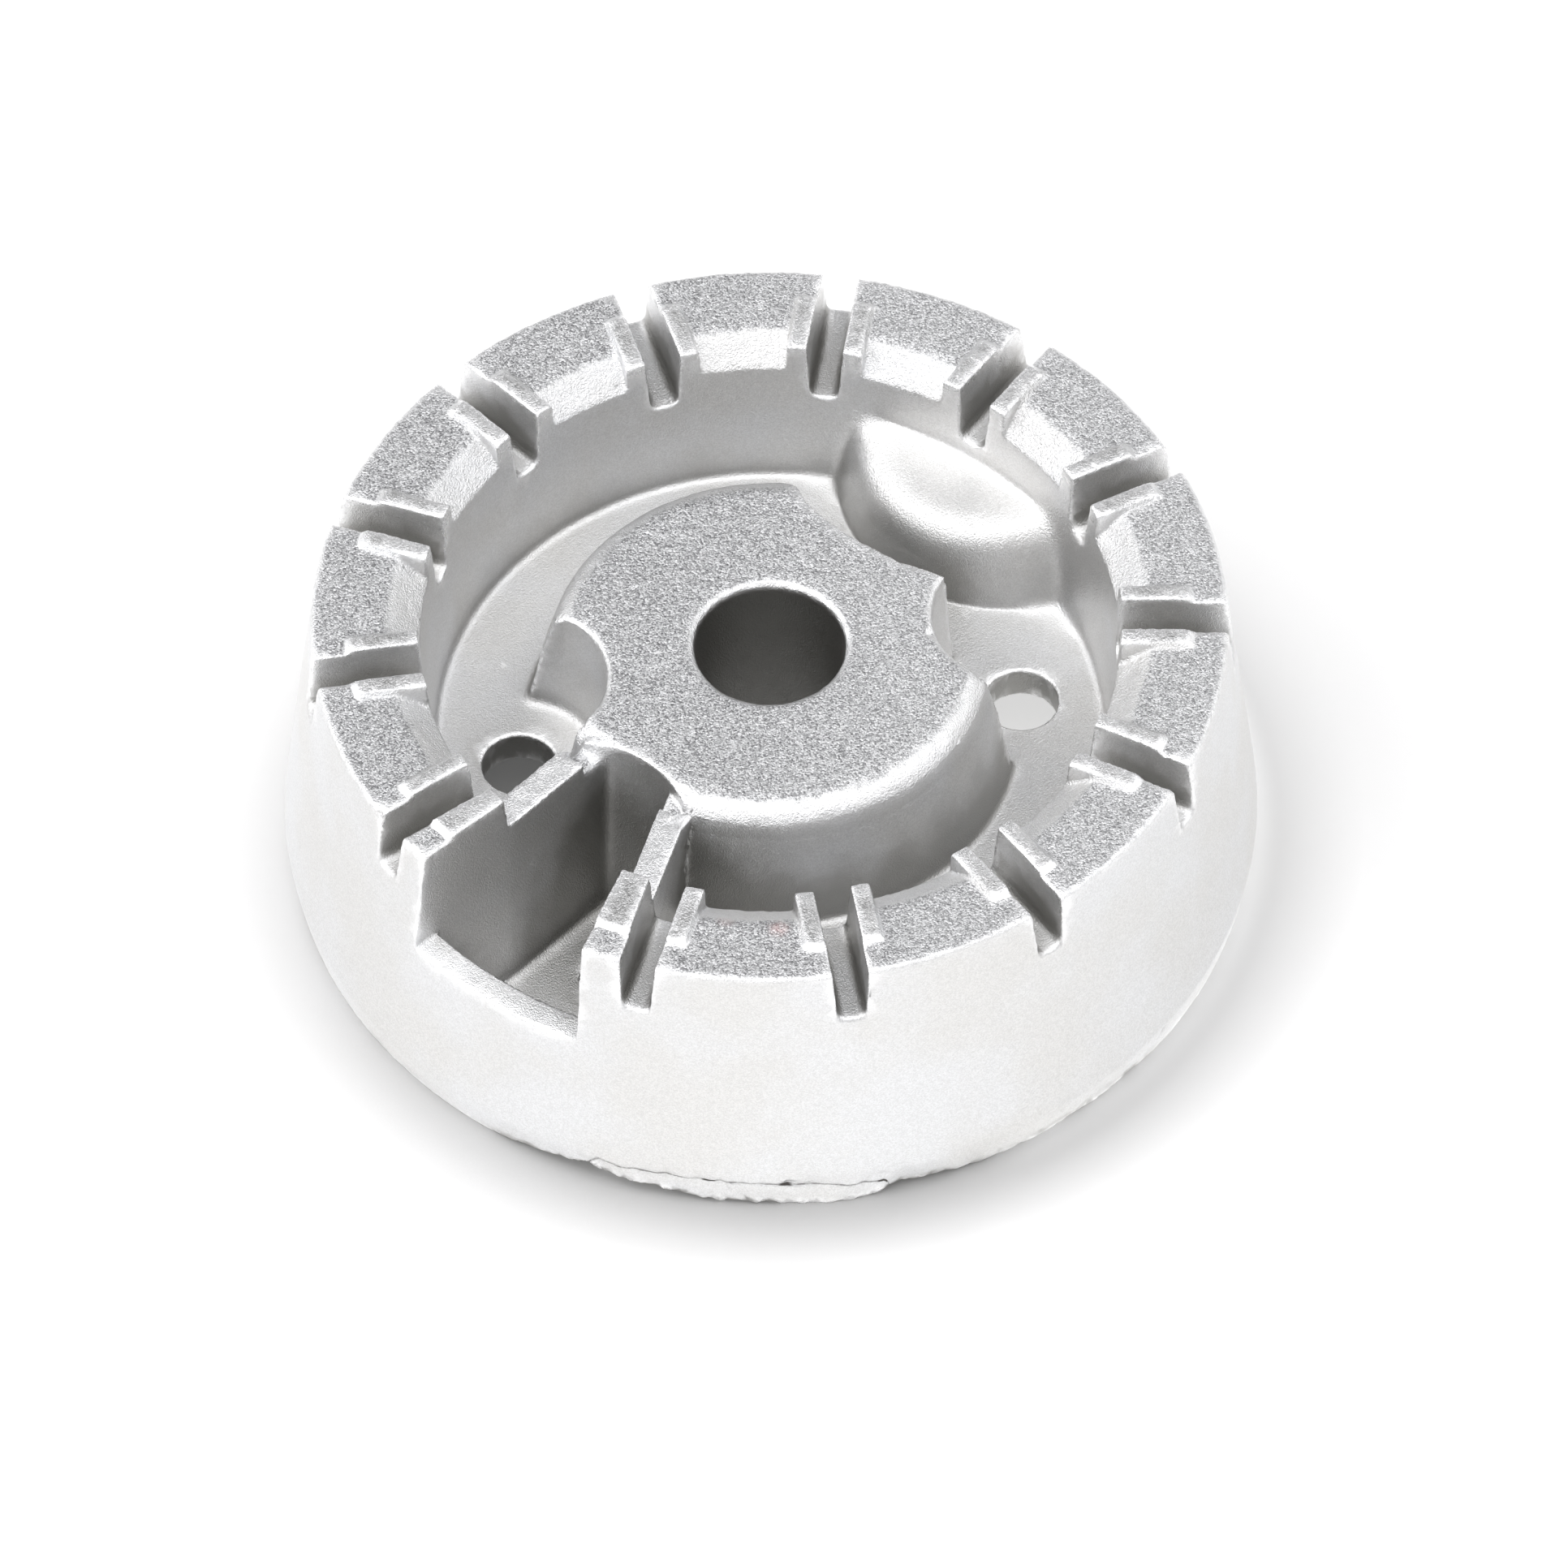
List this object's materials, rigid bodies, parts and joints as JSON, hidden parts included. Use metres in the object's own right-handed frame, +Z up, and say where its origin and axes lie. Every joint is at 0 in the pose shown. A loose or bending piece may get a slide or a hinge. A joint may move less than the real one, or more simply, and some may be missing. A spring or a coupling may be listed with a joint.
{
  "type": "gas burner body",
  "caption": "Round die-cast burner body: a ring with radial gas slots round a well with a bored hub, a dished boss and an open electrode pocket.",
  "frame": {"origin": "on the axis of the gas bore, in the plane of the ring's foot", "axes": "+Z up along the gas bore, +X through the centres of the two screw holes, the electrode pocket between -X and -Y"},
  "size_m": [0.0588, 0.0588, 0.0196],
  "materials": {
    "cast_aluminium": "bare die-cast, fine sandy grain on the level faces"
  },
  "bodies": {
    "root": {"burner_body": "cast_aluminium"}
  },
  "joints": []
}
